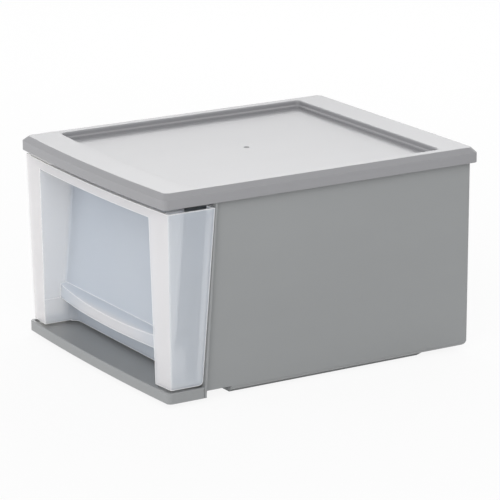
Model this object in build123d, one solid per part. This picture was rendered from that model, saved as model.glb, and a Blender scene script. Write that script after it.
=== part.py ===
from build123d import *
import os

# Stackable drawer box: a case, a snap-on top cover with a stacking recess, and a sliding drawer.
# Millimetres. +Z up, front towards -Y, X across. The origin is the middle of the footprint,
# on the plane of the two foot rails. The drawer is modelled closed.

# ---- top cover ----
COVER_W = 304.8          # side to side
BACK_Y = 188.65          # rear edge, the rearmost point of the box
COVER_CORNER_Y = -183.2  # front corners
COVER_BOW = 5.45         # how far the front edge bows out between them
COVER_R = 4.6            # plan radius of the corners
COVER_T = 2.5            # wall thickness
TOP_Z = 218.5            # top face, the highest point of the box
SKIRT_Z = 202.9          # lower edge of the skirt
BAND_H = 5.4             # height of the sloped band above the skirt
BAND_IN_SIDE = 5.4       # how far the band leans in at the sides
BAND_IN_FRONT = 4.6
BAND_IN_BACK = 3.8
CROWN_R = 5.8            # plan radius of the top face
EDGE_R = 1.0             # rounding of the cover's long edges

# ---- stacking recess in the cover ----
RECESS_W = 272.6
RECESS_BACK_Y = 150.4
RECESS_FRONT_Y = -144.6
RECESS_BOW = 4.5
RECESS_R = 5.0
RECESS_DEPTH = 8.2
RECESS_EDGE_R = 2.0      # rounding of its upper edge
LEDGE_DEPTH = 4.6        # a small sloped ledge runs round its wall
LEDGE_H = 1.4
LEDGE_IN = 1.6
GATE_AT = (-6.5, 5.5)    # moulding mark, a small round dimple in its floor
GATE_R = 3.1
GATE_DEPTH = 1.1
COVER_RIB_X = (-80.0, 0.0, 80.0)   # ribs under the recess floor, along Y
COVER_RIB_H = 3.0
CROSS_RIB_Y = (-80.0, 0.0, 90.0)   # lower ribs across them
CROSS_RIB_H = 2.0
COVER_RIB_T = 1.8

# ---- case ----
WALL_X = 145.4           # outer face of the side walls at the floor
WALL_T = 2.4
SIDE_DRAFT = 0.5         # how far each side wall leans out up to the top
CASE_BACK_Y = 183.6      # rear wall at the floor
BACK_DRAFT = 1.0
CASE_TOP_Z = 213.9
FLOOR_Z = 4.45           # underside of the floor
CASE_LOW_R = 6.0         # rounding along the bottom
CASE_REAR_R = 4.0        # rounding of the rear corners
FRONT_TOP_Y = -124.45    # front edge of the side wall at z = FRONT_REF_Z
FRONT_REF_Z = 191.0
FRONT_SLOPE = 0.0763     # it leans forward going down
FLANGE_X = 150.5         # outer face of the front flange
FLANGE_HIDDEN_X = 147.9  # the same where it runs on up inside the cover
FLANGE_T = 2.4
SILL_X = 150.8           # front sill: a plate with an upstanding rim and a skirt
SILL_TOP_Z = 13.2
SILL_UNDER_Z = 9.65
SILL_BOTTOM_Z = 4.5
SILL_STEP_Y = -104.5     # where the floor steps down behind the sill
SILL_CORNER_Y = -179.75
SILL_BOW = 4.2
SILL_R = 5.0
RIM_TOP_Z = 15.4
RIM_T = 3.0
GROOVE = 0.9             # parting groove in the sill's side, in front of the flange
FOOT_OUT_X = 133.6       # foot rails, which drop into the recess of a box below
FOOT_IN_X = 119.6
FOOT_FRONT_Y = -100.8
FOOT_BACK_Y = 127.0
FOOT_FRONT_LEAN = 1.55   # run-out of the front end per millimetre of height
FOOT_BACK_LEAN = 3.4
RUNNER_TOP_Z = 16.3      # ribs that the drawer slides on
RUNNER_X = (44.0, 108.0)
RUNNER_T = 2.4
RUNNER_SET_BACK = 20.0   # its ramp starts this far behind the case's front edge

# ---- drawer ----
DRAWER_TOP_Z = 198.1
DRAWER_BOTTOM_Z = 16.6
DRAWER_T = 2.0
FRONT_W_TOP = 302.9      # wide front part
FRONT_W_BOTTOM = 295.4
FRONT_BOTTOM_Z = 17.5
FRONT_Y_TOP = -178.65    # its front corners
FRONT_Y_BOTTOM = -175.3
FRONT_BOW = 5.7
FRONT_GAP = 1.6          # gap to the front edge of the case
FRONT_EDGE_R = 1.4       # rounding of its outer edges
FRONT_HEEL_R = 5.0       # rounding below its rear edge
BIN_X = 140.6            # narrow part, inside the case
BIN_BACK_Y = 176.0
BIN_R = 5.0
BEAD_T = 1.1             # stiffening bead round its rim
BEAD_H = 3.5
BEAD_R = 8.0
PILLAR_X_TOP = 116.6     # inner faces of the two front pillars
PILLAR_X_BOTTOM = 119.5
BAND_Z = 188.7           # lower edge of the band across the front
PANEL_Y_TOP = -140.8     # recessed panel
PANEL_SLOPE = 0.0925
PANEL_R = 4.0
LIP_Z = 44.6             # pull lip at the foot of the panel
LIP_HALF_W = 139.6
LIP_CORNER_Y = -155.0
LIP_BOW = 11.7
LIP_FACE_H = 11.4
LIP_SLOPE = 0.4
POCKET_Y = -139.6        # wall behind the finger pocket
POCKET_R = 10.0
TRAVEL = 280.0           # how far the drawer slides out

# ---- stops and snap catches ----
STOP_X = (60.0, 95.0)    # a stop under the cover, and a tab on the drawer's rear rim
STOP_T = 3.0
TAB_T = 2.4
TAB_RISE = 5.0
STOP_CLEAR = 1.6
CATCH_Y = (-60.0, 30.0, 120.0)
CATCH_Z = (205.0, 208.0)
CATCH_W = 24.0
CATCH_OUT = 1.5
HOOK_Z = (203.4, 204.8)
HOOK_W = 18.0
HOOK_IN = 3.0

BIG = 400.0              # well past the box, for cutting


def bowed(half_w, back_y, corner_y, bow, rear_r=0.0, front_r=0.0):
    """A plan outline with straight sides and back, and a front that bows out."""
    face = make_face(
        [
            ThreePointArc((-half_w, corner_y), (0, corner_y - bow), (half_w, corner_y)),
            Line((half_w, corner_y), (half_w, back_y)),
            Line((half_w, back_y), (-half_w, back_y)),
            Line((-half_w, back_y), (-half_w, corner_y)),
        ]
    )
    middle = (corner_y + back_y) / 2
    if front_r:
        face = fillet([v for v in face.vertices() if v.Y < middle], front_r)
    if rear_r:
        face = fillet([v for v in face.vertices() if v.Y > back_y - 0.01], rear_r)
    return face


def slab(face, z0, z1):
    """Extrude a plan outline from z0 up to z1."""
    return extrude(Pos(0, 0, z0) * face, amount=z1 - z0, dir=(0, 0, 1))


def box(x0, x1, y0, y1, z0, z1):
    return Pos((x0 + x1) / 2, (y0 + y1) / 2, (z0 + z1) / 2) * Box(x1 - x0, y1 - y0, z1 - z0)


def side_prism(points, x0, x1):
    """Extrude an outline of (y, z) points from x0 to x1."""
    outline = Plane.YZ * make_face(Polyline(*points, close=True))
    return extrude(Pos(x0, 0, 0) * outline, amount=x1 - x0, dir=(1, 0, 0))


def front_wedge(half_bottom, half_top, z0, z1):
    """A wedge along Y whose half width changes from z0 to z1."""
    points = [(-half_bottom, z0), (half_bottom, z0), (half_top, z1), (-half_top, z1)]
    outline = Plane.XZ * make_face(Polyline(*points, close=True))
    return extrude(Pos(0, BIG, 0) * outline, amount=2 * BIG, dir=(0, -1, 0))


def edges_where(solid, test):
    return [e for e in solid.edges() if test(e.bounding_box())]


def case_front_y(z):
    """Front edge of the side walls at a height."""
    return FRONT_TOP_Y - FRONT_SLOPE * (FRONT_REF_Z - z)


# ================================================================ case
def case_block(inset):
    """The tub without its sill: solid for inset 0, its hollow for the wall thickness."""
    hollow = inset > 0
    z_floor = FLOOR_Z + inset
    z_sill = SILL_TOP_Z if hollow else SILL_UNDER_Z
    z_top = CASE_TOP_Z + (20 if hollow else 0)
    y_step = SILL_STEP_Y + inset
    y_out = 30 if hollow else 0
    rise = (z_top - FLOOR_Z) / (CASE_TOP_Z - FLOOR_Z)
    points = [
        (y_step, z_floor),
        (CASE_BACK_Y - inset, z_floor),
        (CASE_BACK_Y + BACK_DRAFT * rise - inset, z_top),
        (case_front_y(z_top) - y_out, z_top),
        (case_front_y(z_sill) - y_out, z_sill),
        (y_step, z_sill),
    ]
    x = WALL_X - inset
    block = side_prism(points, -BIG, BIG) & front_wedge(x, x + SIDE_DRAFT * rise, FLOOR_Z, z_top)
    low = edges_where(block, lambda b: b.max.Z < z_floor + 0.01 and b.max.Y > y_step + 1)
    block = fillet(low, CASE_LOW_R - inset)
    rear = edges_where(block, lambda b: b.min.Y > CASE_BACK_Y - CASE_LOW_R and b.size.Z > 100)
    return fillet(rear, CASE_REAR_R - inset / 2)


def front_sill():
    """The plate in front of the case, with an upstanding rim and a skirt below."""
    front_y = case_front_y(0)
    rear_y = front_y + FLANGE_T
    outer = bowed(SILL_X, rear_y, SILL_CORNER_Y, SILL_BOW, front_r=SILL_R)
    inner = bowed(SILL_X - RIM_T, rear_y, SILL_CORNER_Y + RIM_T, SILL_BOW, front_r=SILL_R - 2)
    plate = slab(outer, SILL_BOTTOM_Z, RIM_TOP_Z)
    plate = chamfer(edges_where(plate, lambda b: b.min.Z > RIM_TOP_Z - 0.01), 0.5)
    tray = slab(inner, SILL_TOP_Z, RIM_TOP_Z + 5)
    inner_x = WALL_X - WALL_T
    rear_cut = box(-inner_x, inner_x, front_y - 2, rear_y + 5, SILL_TOP_Z, RIM_TOP_Z + 5)
    underside = slab(inner, SILL_BOTTOM_Z - 5, SILL_UNDER_Z)
    rear_web = box(-SILL_X, SILL_X, front_y, rear_y, SILL_BOTTOM_Z - 6, SILL_UNDER_Z + 1)
    return plate - tray - rear_cut - (underside - rear_web)


def flange_bar(side, z0, z1, x_out):
    """A stretch of the flange between two heights, out from the side wall to x_out."""
    points = [
        (case_front_y(z0), z0),
        (case_front_y(z0) + FLANGE_T, z0),
        (case_front_y(z1) + FLANGE_T, z1),
        (case_front_y(z1), z1),
    ]
    x0, x1 = sorted((side * (WALL_X - WALL_T / 2), side * x_out))
    return side_prism(points, x0, x1)


def flange(side):
    """The outward flange down the front edge of one side wall. It runs on, narrower, inside the cover."""
    z_skirt = SKIRT_Z - 0.4
    bar = flange_bar(side, SILL_BOTTOM_Z, z_skirt, FLANGE_X)
    outer = edges_where(bar, lambda b: b.size.Z > 100 and abs(b.center().X) > WALL_X)
    return fillet(outer, 0.8) + flange_bar(side, z_skirt - 1, CASE_TOP_Z, FLANGE_HIDDEN_X)


def foot_rail(side, inset):
    """One foot rail below the floor for inset 0; an inset gives the groove inside it."""
    z_top = FLOOR_Z + (inset + 1 if inset else 0.5)
    y_front = FOOT_FRONT_Y + inset
    y_back = FOOT_BACK_Y - inset
    points = [(y_front, inset), (y_back, inset), (y_back + FOOT_BACK_LEAN * (z_top - inset), z_top)]
    if inset:
        points.append((y_front, z_top))
    else:
        z_sill = SILL_UNDER_Z + 0.5
        y_step = SILL_STEP_Y + WALL_T / 2
        points += [(y_step, z_top), (y_step, z_sill), (y_front - FOOT_FRONT_LEAN * z_sill, z_sill)]
    x0, x1 = sorted((side * (FOOT_IN_X + inset), side * (FOOT_OUT_X - inset)))
    return side_prism(points, x0, x1)


def runner(x):
    """One rib on the floor, along which the drawer slides."""
    y0 = case_front_y(SILL_TOP_Z) + RUNNER_SET_BACK
    y_back = CASE_BACK_Y - WALL_T + 0.5
    y_step = SILL_STEP_Y + 1
    outline = [
        (y0, SILL_TOP_Z - 1),
        (y0, RUNNER_TOP_Z - 1.8),
        (y0 + 3, RUNNER_TOP_Z),
        (y_back, RUNNER_TOP_Z),
        (y_back, RUNNER_TOP_Z - 3),
        (CASE_BACK_Y - CASE_LOW_R, FLOOR_Z + 1),
        (y_step, FLOOR_Z + 1),
        (y_step, SILL_TOP_Z - 1),
    ]
    return side_prism(outline, x - RUNNER_T / 2, x + RUNNER_T / 2)


def side_bar(side, x_in, x_out, y, width, z):
    """A short bar along one side wall, for the snap catches and their hooks."""
    x0, x1 = sorted((side * x_in, side * x_out))
    return box(x0, x1, y - width / 2, y + width / 2, *z)


def make_case():
    body = case_block(0) - case_block(WALL_T) + front_sill()
    groove_y = case_front_y(0) - GROOVE / 2
    groove_z = (SILL_BOTTOM_Z - 1, RIM_TOP_Z + 1)
    for side in (-1, 1):
        groove = side_bar(side, SILL_X - GROOVE, SILL_X + 1, groove_y, GROOVE, groove_z)
        body = body + flange(side) + foot_rail(side, 0) - groove
    for side in (-1, 1):
        body = body - foot_rail(side, WALL_T)
        for x in RUNNER_X:
            body = body + runner(side * x)
        for y in CATCH_Y:
            body = body + side_bar(side, WALL_X - 0.5, WALL_X + SIDE_DRAFT + CATCH_OUT, y, CATCH_W, CATCH_Z)
    return body


# ================================================================ top cover
def cover_block(inset):
    """The cover as a solid block for inset 0, and the space under it for the wall thickness."""
    half = COVER_W / 2 - inset
    back_y = BACK_Y - inset
    corner_y = COVER_CORNER_Y + inset
    skirt_r = COVER_R - inset * 0.8
    skirt = bowed(half, back_y, corner_y, COVER_BOW, skirt_r, skirt_r)
    crown_r = CROWN_R - inset * 0.8
    crown_half = half - BAND_IN_SIDE
    crown = bowed(crown_half, back_y - BAND_IN_BACK, corner_y + BAND_IN_FRONT, COVER_BOW, crown_r, crown_r)
    band_z = TOP_Z - BAND_H
    band = loft([Pos(0, 0, band_z) * skirt, Pos(0, 0, TOP_Z - inset) * crown], ruled=True)
    return slab(skirt, SKIRT_Z - (5 if inset else 0), band_z) + band


def recess_plan(grow):
    half = RECESS_W / 2 + grow
    radius = RECESS_R + grow
    return bowed(half, RECESS_BACK_Y + grow, RECESS_FRONT_Y - grow, RECESS_BOW, radius, radius)


def stacking_recess():
    """The space of the recess: an upper part, a sloped ledge round its wall, and a lower part."""
    upper = recess_plan(0)
    lower = recess_plan(-LEDGE_IN)
    ledge_z = TOP_Z - LEDGE_DEPTH
    space = slab(upper, ledge_z, TOP_Z + 5) + slab(lower, TOP_Z - RECESS_DEPTH, ledge_z)
    return space + loft([Pos(0, 0, ledge_z - LEDGE_H) * lower, Pos(0, 0, ledge_z) * upper], ruled=True)


def make_cover():
    shell = cover_block(0)
    shell = fillet(edges_where(shell, lambda b: b.min.Z > TOP_Z - 0.01), EDGE_R)
    shell = fillet(edges_where(shell, lambda b: b.max.Z < SKIRT_Z + 0.01), EDGE_R / 2)
    floor_z = TOP_Z - RECESS_DEPTH
    under_z = floor_z - COVER_T
    rim_x = RECESS_W / 2 + 1
    cover = shell - cover_block(COVER_T)
    cover = cover + slab(recess_plan(COVER_T), under_z, TOP_Z - 0.5)
    cover = cover - stacking_recess()
    rim = edges_where(cover, lambda b: b.min.Z > TOP_Z - 0.01 and b.max.X < rim_x and b.min.X > -rim_x)
    cover = fillet(rim, RECESS_EDGE_R)
    cover = cover - Pos(*GATE_AT, floor_z) * Cylinder(GATE_R, 2 * GATE_DEPTH)

    half_t = COVER_RIB_T / 2
    rib_ends = (RECESS_FRONT_Y + 6, RECESS_BACK_Y - 8)
    for x in COVER_RIB_X:
        cover = cover + box(x - half_t, x + half_t, *rib_ends, under_z - COVER_RIB_H, under_z + 0.5)
    rib_ends = (8 - RECESS_W / 2, RECESS_W / 2 - 8)
    for y in CROSS_RIB_Y:
        cover = cover + box(*rib_ends, y - half_t, y + half_t, under_z - CROSS_RIB_H, under_z + 0.5)
    stop_y = BIN_BACK_Y - TAB_T - TRAVEL - 1.0
    for side in (-1, 1):
        x0, x1 = sorted((side * STOP_X[0], side * STOP_X[1]))
        cover = cover + box(x0, x1, stop_y - STOP_T, stop_y, DRAWER_TOP_Z + STOP_CLEAR, under_z + 0.5)
        wall_x = COVER_W / 2 - COVER_T
        for y in CATCH_Y:
            cover = cover + side_bar(side, wall_x - HOOK_IN, wall_x + 0.5, y, HOOK_W, HOOK_Z)
    return cover


# ================================================================ drawer
def wide_front(inset):
    """The wide front part behind the bowed face, sloped at its rear to follow the case."""
    height = DRAWER_TOP_Z - FRONT_BOTTOM_Z
    z0 = FRONT_BOTTOM_Z + inset
    z1 = DRAWER_TOP_Z + (5 if inset else 0)

    def outline(z):
        share = (z - FRONT_BOTTOM_Z) / height
        half = (FRONT_W_BOTTOM + (FRONT_W_TOP - FRONT_W_BOTTOM) * share) / 2 - inset
        y = FRONT_Y_BOTTOM + (FRONT_Y_TOP - FRONT_Y_BOTTOM) * share + inset
        return Pos(0, 0, z) * bowed(half, -100.0, y, FRONT_BOW)

    block = loft([outline(z0), outline(z1)], ruled=True)
    gap = FRONT_GAP + inset
    behind = [(case_front_y(0) - gap, 0), (case_front_y(BIG) - gap, BIG), (BIG, BIG), (BIG, 0)]
    block = block - side_prism(behind, -BIG, BIG)
    heel = edges_where(block, lambda b: b.max.Z < z0 + 0.01 and b.min.Y > -142)
    block = fillet(heel, max(FRONT_HEEL_R - inset, 1.0))
    outer = edges_where(block, lambda b: b.size.Z > 150 and b.max.Y < -150)
    return fillet(outer, max(FRONT_EDGE_R - inset, 0.6))


def bin_block(inset):
    """The straight narrow part that stays inside the case."""
    z0 = DRAWER_BOTTOM_Z + inset
    z1 = DRAWER_TOP_Z + (5 if inset else 0)
    x = BIN_X - inset
    y0 = POCKET_Y - 6 + inset
    block = box(-x, x, y0, BIN_BACK_Y - inset, z0, z1)
    rear = edges_where(block, lambda b: b.size.Z > 100 and b.min.Y > 0)
    low = edges_where(block, lambda b: b.max.Z < z0 + 0.01 and b.max.Y > y0 + 1)
    return fillet(rear + low, BIN_R - inset)


def front_recess(grow):
    """The hollow between the pillars: a sloped panel above a pull lip, and a finger pocket below it."""
    lean = (PILLAR_X_BOTTOM - PILLAR_X_TOP) / (BAND_Z - FRONT_BOTTOM_Z)
    z_low = LIP_Z + grow
    z_band = BAND_Z + grow

    def panel_y(z):
        return PANEL_Y_TOP - PANEL_SLOPE * (BAND_Z - z) + grow

    def pillar_x(z):
        return PILLAR_X_TOP + lean * (BAND_Z - z) + grow

    panel_edge = [(panel_y(z_band), z_band), (panel_y(z_low), z_low)]
    above = side_prism([(-BIG, z_band), *panel_edge, (-BIG, z_low)], -BIG, BIG)
    above = above & front_wedge(pillar_x(0), pillar_x(BIG / 2), 0, BIG / 2)
    corners = edges_where(above, lambda b: b.size.Z > 100 and b.min.Y > -170)
    above = fillet(corners, PANEL_R + grow)

    x = pillar_x(LIP_Z / 2)
    pocket = box(-x, x, -BIG, POCKET_Y + grow, 0, z_low)
    corners = edges_where(pocket, lambda b: b.size.Z > 20 and b.min.Y > -150)
    pocket = fillet(corners, POCKET_R + grow)

    lip = slab(bowed(LIP_HALF_W, -100.0, LIP_CORNER_Y + grow, LIP_BOW), z_low, 100)
    lip_y = LIP_CORNER_Y - LIP_BOW
    face_top = LIP_Z + LIP_FACE_H - grow
    slope = [(y, face_top + LIP_SLOPE * (y - lip_y)) for y in (-230, -100)]
    lip = lip & side_prism([*slope, (-100, 0), (-230, 0)], -BIG, BIG)
    return (above - lip) + pocket


def make_drawer():
    outside = (wide_front(0) + bin_block(0)) - front_recess(0)
    inside = (wide_front(DRAWER_T) + bin_block(DRAWER_T)) - front_recess(DRAWER_T)
    bead_x = BIN_X + BEAD_T
    bead_y = case_front_y(DRAWER_TOP_Z) + 6
    bead = box(-bead_x, bead_x, bead_y, BIN_BACK_Y + BEAD_T, DRAWER_TOP_Z - BEAD_H, DRAWER_TOP_Z)
    bead = fillet(edges_where(bead, lambda b: b.size.Z > 1 and b.min.Y > 0), BEAD_R)
    drawer = outside + bead - inside
    tab_z = (DRAWER_TOP_Z - 4, DRAWER_TOP_Z + TAB_RISE)
    for side in (-1, 1):
        x0, x1 = sorted((side * (STOP_X[0] + 4), side * (STOP_X[1] - 4)))
        drawer = drawer + box(x0, x1, BIN_BACK_Y - TAB_T, BIN_BACK_Y, *tab_z)
    return drawer


os.makedirs("parts", exist_ok=True)
export_step(make_case(), "parts/case.step")
export_step(make_cover(), "parts/top_cover.step")
export_step(make_drawer(), "parts/drawer.step")
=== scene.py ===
import math

import bpy
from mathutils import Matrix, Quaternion, Vector

# Stackable drawer box: a grey moulded case and cover round a frosted drawer, on a plain pale floor.

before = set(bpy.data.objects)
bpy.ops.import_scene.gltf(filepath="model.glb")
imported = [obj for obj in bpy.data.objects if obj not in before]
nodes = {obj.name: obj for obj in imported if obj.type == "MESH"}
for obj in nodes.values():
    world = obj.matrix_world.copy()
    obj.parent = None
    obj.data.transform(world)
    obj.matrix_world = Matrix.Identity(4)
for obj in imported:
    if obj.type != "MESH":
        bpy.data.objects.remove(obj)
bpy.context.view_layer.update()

MM = 0.001

# ---- both plastics ----
PLASTIC_IOR = 1.49            # polypropylene

# ---- grey mouldings ----
STREAK_W = 60 * MM            # width of the flow streaks
STREAK_DRAW = (1.0, 0.25, 1.0)  # they are four times as long along the box
STREAK_DEPTH = 0.03           # share by which they lighten and darken the grey
GRAIN_W = 1.1 * MM            # spark-eroded grain, drawn coarser than it is so that it can show
GRAIN_DEPTH = 0.4 * MM

# ---- frosted drawer ----
HAZE_TONES = "#E4EEFC", "#EDF5FF"  # the milky body, a little bluish
HAZE_W = 140 * MM             # size of the soft changes in its tint
FROST_ROUGHNESS = 0.35
SIDE_FROM, SIDE_FULL = 0.3, 0.8  # sideways part of a face's normal where a side begins and is full
CLEAR_TONE = "#FFFCF8"        # light that passes straight through, a little warm
CLEAR_SIDE = 0.54             # its share where a face looks sideways
CLEAR_FRONT = 0.38            # its share on all other faces
SOFT_SHARE = 0.25             # share of the rest that goes through softly
# painted light: a whiter tint on the frame's fronts, for light scattered inside the hollow pillars
FRAME_PAINTED_LIGHT = "#FBFBFF"
FRAME_Y = -160 * MM           # the frame's fronts lie before this, and the recessed panel behind it
FRAME_BLEND = 6 * MM          # the pull lip bows out through this step
# painted light: the edges are painted white, for light that runs inside the walls
EDGE_W = 1.8 * MM             # width of the white edges
EDGE_FROM, EDGE_FULL = 0.99, 0.86  # cosine to the rounded normal where an edge begins and is full
EDGE_LIGHT_SHARE = 0.9              # how white the edges are
EDGE_ROUGHNESS = 0.4

# ---- floor ----
FLOOR_HALF = 6.0              # half its width
FLOOR_DROP = 0.5 * MM         # keeps the floor clear of the foot rails
FLOOR_GLOW = 0.9              # share of white that the eye gets, so that the shadow stays
SKY_LIGHT = 0.4               # strength with which the white surroundings light the object


# ---------------------------------------------------------------- colours and nodes
def srgb(code):
    """An sRGB hex colour as the linear colour that the shaders work in."""
    parts = [int(code[i : i + 2], 16) / 255 for i in (1, 3, 5)]
    return (*[c / 12.92 if c <= 0.04045 else ((c + 0.055) / 1.055) ** 2.4 for c in parts], 1.0)


def add(tree, kind, settings=None, inputs=None):
    """One shader node with its settings, and its inputs as plain values or links."""
    made = tree.nodes.new(kind)
    for name, value in (settings or {}).items():
        setattr(made, name, value)
    for name, value in (inputs or {}).items():
        if isinstance(value, bpy.types.NodeSocket):
            tree.links.new(value, made.inputs[name])
        else:
            made.inputs[name].default_value = value
    return made


def new_material(name):
    """An empty material, and its node tree."""
    made = bpy.data.materials.new(name)
    made.use_nodes = True
    made.node_tree.nodes.clear()
    return made, made.node_tree


def dress(node, material):
    """Give a CAD node its material."""
    obj = nodes[node]
    obj.data.materials.clear()
    obj.data.materials.append(material)


# ---------------------------------------------------------------- grey mouldings
def moulded_grey(name, code, roughness, grain):
    """Injection-moulded grey polypropylene. The eye gets a satin sheen, faint streaks along the box
    where the pigment has flowed unevenly, and a fine spark-eroded grain."""
    made, tree = new_material(name)
    where = add(tree, "ShaderNodeTexCoord").outputs["Object"]
    along = add(tree, "ShaderNodeMapping", inputs={"Vector": where, "Scale": STREAK_DRAW}).outputs[0]
    streaks = add(tree, "ShaderNodeTexNoise", inputs={"Vector": along, "Scale": 1 / STREAK_W, "Detail": 3.0})
    base = srgb(code)[:3]
    dark = (*[c * (1 - STREAK_DEPTH) for c in base], 1.0)
    light = (*[c * (1 + STREAK_DEPTH) for c in base], 1.0)
    ends = {"Factor": streaks.outputs["Fac"], "A": dark, "B": light}
    tone = add(tree, "ShaderNodeMix", {"data_type": "RGBA"}, ends)
    fine = add(tree, "ShaderNodeTexNoise", inputs={"Vector": where, "Scale": 1 / GRAIN_W, "Detail": 2.0})
    relief = {"Height": fine.outputs["Fac"], "Strength": grain, "Distance": GRAIN_DEPTH}
    bump = add(tree, "ShaderNodeBump", inputs=relief)
    look = {"Base Color": tone.outputs["Result"], "Roughness": roughness, "IOR": PLASTIC_IOR}
    surface = add(tree, "ShaderNodeBsdfPrincipled", inputs={**look, "Normal": bump.outputs["Normal"]})
    add(tree, "ShaderNodeOutputMaterial", inputs={"Surface": surface.outputs["BSDF"]})
    return made


# ---------------------------------------------------------------- frosted drawer
def frosted_clear(name):
    """Frosted natural polypropylene. The eye gets a milky body that scatters light back a little
    bluish and lets it through a little warm, with shapes showing behind it, and painted light:
    frame fronts painted whiter and edges painted white."""
    made, tree = new_material(name)
    where = add(tree, "ShaderNodeTexCoord").outputs["Object"]
    haze = add(tree, "ShaderNodeTexNoise", inputs={"Vector": where, "Scale": 1 / HAZE_W, "Detail": 2.0})
    deep, pale = [srgb(code) for code in HAZE_TONES]
    ends = {"Factor": haze.outputs["Fac"], "A": deep, "B": pale}
    tone = add(tree, "ShaderNodeMix", {"data_type": "RGBA"}, ends)

    # 0 on faces that look sideways, and 1 on all others
    flat = add(tree, "ShaderNodeNewGeometry").outputs["True Normal"]
    across = add(tree, "ShaderNodeVectorMath", {"operation": "DOT_PRODUCT"}, {0: flat, 1: (1, 0, 0)})
    sideways = add(tree, "ShaderNodeMath", {"operation": "ABSOLUTE"}, {0: across.outputs["Value"]})
    span = {"From Min": SIDE_FROM, "From Max": SIDE_FULL, "To Min": 1.0, "To Max": 0.0}
    frontal = add(tree, "ShaderNodeMapRange", inputs={"Value": sideways.outputs[0], **span}).outputs[0]

    # the fronts of the frame are painted whiter than the panel, as photographed;
    # painted light that stands in for light scattering inside the hollow pillars
    place = add(tree, "ShaderNodeSeparateXYZ", inputs={"Vector": where})
    span = {"From Min": FRAME_Y, "From Max": FRAME_Y - FRAME_BLEND}
    on_frame = add(tree, "ShaderNodeMapRange", inputs={"Value": place.outputs["Y"], **span})
    frame_light_mask = add(tree, "ShaderNodeMath", {"operation": "MULTIPLY"}, {0: on_frame.outputs[0], 1: frontal})
    ends = {"Factor": frame_light_mask.outputs[0], "A": tone.outputs["Result"], "B": srgb(FRAME_PAINTED_LIGHT)}
    front = add(tree, "ShaderNodeMix", {"data_type": "RGBA"}, ends)

    # a wall scatters light back, lets some through softly, and lets the rest pass straight
    look = {"Base Color": front.outputs["Result"], "Roughness": FROST_ROUGHNESS, "IOR": PLASTIC_IOR}
    milk = add(tree, "ShaderNodeBsdfPrincipled", inputs=look).outputs[0]
    soft = add(tree, "ShaderNodeBsdfTranslucent", inputs={"Color": srgb("#FFFFFF")}).outputs[0]
    scatter = add(tree, "ShaderNodeMixShader", inputs={0: SOFT_SHARE, 1: milk, 2: soft}).outputs[0]
    clear = add(tree, "ShaderNodeBsdfTransparent", inputs={"Color": srgb(CLEAR_TONE)}).outputs[0]
    span = {"To Min": CLEAR_SIDE, "To Max": CLEAR_FRONT}
    share = add(tree, "ShaderNodeMapRange", inputs={"Value": frontal, **span}).outputs[0]
    body = add(tree, "ShaderNodeMixShader", inputs={0: share, 1: scatter, 2: clear}).outputs[0]

    # light that runs inside the walls comes out along the edges, painted there as a white surface
    rounded = add(tree, "ShaderNodeBevel", {"samples": 6}, {"Radius": EDGE_W}).outputs["Normal"]
    facing = add(tree, "ShaderNodeVectorMath", {"operation": "DOT_PRODUCT"}, {0: flat, 1: rounded})
    span = {"From Min": EDGE_FROM, "From Max": EDGE_FULL, "To Max": EDGE_LIGHT_SHARE}
    edge = add(tree, "ShaderNodeMapRange", inputs={"Value": facing.outputs["Value"], **span}).outputs[0]
    look = {"Base Color": srgb("#FFFFFF"), "Roughness": EDGE_ROUGHNESS}
    white = add(tree, "ShaderNodeBsdfPrincipled", inputs=look).outputs[0]
    edged = add(tree, "ShaderNodeMixShader", inputs={0: edge, 1: body, 2: white})
    add(tree, "ShaderNodeOutputMaterial", inputs={"Surface": edged.outputs[0]})
    return made


dress("case", moulded_grey("moulded grey polypropylene case", "#999B9C", roughness=0.34, grain=0.12))
dress("top_cover", moulded_grey("moulded grey polypropylene cover", "#9A9A9D", roughness=0.3, grain=0.06))
dress("drawer", frosted_clear("frosted natural polypropylene"))


# ---------------------------------------------------------------- floor and surroundings
def white_to_the_eye(tree):
    """1 for rays from the camera, and for those that a gloss or a clear wall passes on."""
    rays = add(tree, "ShaderNodeLightPath").outputs
    straight = {0: rays["Is Camera Ray"], 1: rays["Is Glossy Ray"]}
    mirrored = add(tree, "ShaderNodeMath", {"operation": "MAXIMUM"}, straight)
    through = {0: mirrored.outputs[0], 1: rays["Is Transmission Ray"]}
    return add(tree, "ShaderNodeMath", {"operation": "MAXIMUM"}, through).outputs[0]


def floor_material():
    """Matt white studio floor. The eye gets white, with the object's shadow kept."""
    made, tree = new_material("matt white studio floor")
    matte = add(tree, "ShaderNodeBsdfDiffuse", inputs={"Color": srgb("#F4F4F4")}).outputs[0]
    glow = add(tree, "ShaderNodeEmission", inputs={"Color": srgb("#FFFFFF"), "Strength": 1.0}).outputs[0]
    part = {0: white_to_the_eye(tree), 1: FLOOR_GLOW}
    share = add(tree, "ShaderNodeMath", {"operation": "MULTIPLY"}, part).outputs[0]
    mix = add(tree, "ShaderNodeMixShader", inputs={0: share, 1: matte, 2: glow})
    add(tree, "ShaderNodeOutputMaterial", inputs={"Surface": mix.outputs[0]})
    return made


def studio_world():
    """White surroundings that the eye sees at full strength and the object at a lower one."""
    world = bpy.data.worlds.new("studio")
    world.use_nodes = True
    tree = world.node_tree
    tree.nodes.clear()
    span = {"Value": white_to_the_eye(tree), "To Min": SKY_LIGHT, "To Max": 1.0}
    strength = add(tree, "ShaderNodeMapRange", inputs=span).outputs[0]
    sky = add(tree, "ShaderNodeBackground", inputs={"Color": srgb("#FFFFFF"), "Strength": strength})
    add(tree, "ShaderNodeOutputWorld", inputs={"Surface": sky.outputs[0]})
    return world


floor_mesh = bpy.data.meshes.new("floor")
corners = [(x * FLOOR_HALF, y * FLOOR_HALF, 0) for x, y in ((-1, -1), (1, -1), (1, 1), (-1, 1))]
floor_mesh.from_pydata(corners, [], [(0, 1, 2, 3)])
floor = bpy.data.objects.new("floor", floor_mesh)
floor.location.z = -FLOOR_DROP
bpy.context.scene.collection.objects.link(floor)
floor_mesh.materials.append(floor_material())

bpy.context.scene.world = studio_world()


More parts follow.
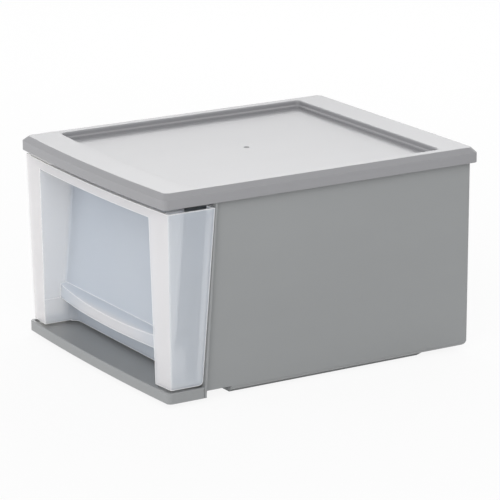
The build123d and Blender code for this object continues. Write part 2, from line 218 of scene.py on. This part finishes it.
# ---------------------------------------------------------------- lamps
def softbox(name, where, towards, size, power):
    """A rectangular area lamp aimed at a point, in metres and watts."""
    data = bpy.data.lights.new(name, "AREA")
    data.shape = "RECTANGLE"
    data.size, data.size_y = size
    data.energy = power
    obj = bpy.data.objects.new(name, data)
    obj.location = where
    obj.rotation_euler = (Vector(towards) - Vector(where)).to_track_quat("-Z", "Y").to_euler()
    bpy.context.scene.collection.objects.link(obj)


# The key comes from the camera's side. The low fill reaches the drawer's front, the two softboxes at
# the back give the cover its sheen, and the rear fill lights the back wall.
softbox("key", (1.9, -1.5, 1.7), (0, 0, 0.1), (2.4, 2.0), 42.5)
softbox("low front fill", (-1.1, -2.1, 0.3), (-0.05, -0.15, 0.1), (1.6, 0.5), 11)
softbox("wide back softbox", (-1.95, 1.17, 1.25), (0, 0, 0.2), (2.2, 0.7), 15.3)
softbox("high back softbox", (-1.5, 0.9, 1.55), (0, 0, 0.2), (2.2, 1.0), 5.6)
softbox("rear fill", (-0.4, 1.3, 1.6), (0, 0, 0.15), (1.6, 1.2), 6)

# ---------------------------------------------------------------- camera
# The photograph's viewpoint, found from the box's own edges.
AZIMUTH, ELEVATION, ROLL = math.radians(58.978), math.radians(15.551), math.radians(-0.337)
AIM = Vector((-0.001285, 0.00589, 0.100019))
DISTANCE = 3.060277
SENSOR = 36.0
LENS = 209.451

camera_data = bpy.data.cameras.new("camera")
camera = bpy.data.objects.new("camera", camera_data)
bpy.context.scene.collection.objects.link(camera)
bpy.context.scene.camera = camera
level = math.cos(ELEVATION)
back = Vector((math.sin(AZIMUTH) * level, -math.cos(AZIMUTH) * level, math.sin(ELEVATION)))
camera.location = AIM + back * DISTANCE
camera.rotation_mode = "QUATERNION"
camera.rotation_quaternion = back.to_track_quat("Z", "Y") @ Quaternion((0, 0, 1), ROLL)
camera_data.sensor_width = SENSOR
camera_data.lens = LENS
camera_data.clip_start, camera_data.clip_end = 0.1, 50.0

bpy.context.scene.view_settings.view_transform = "Standard"
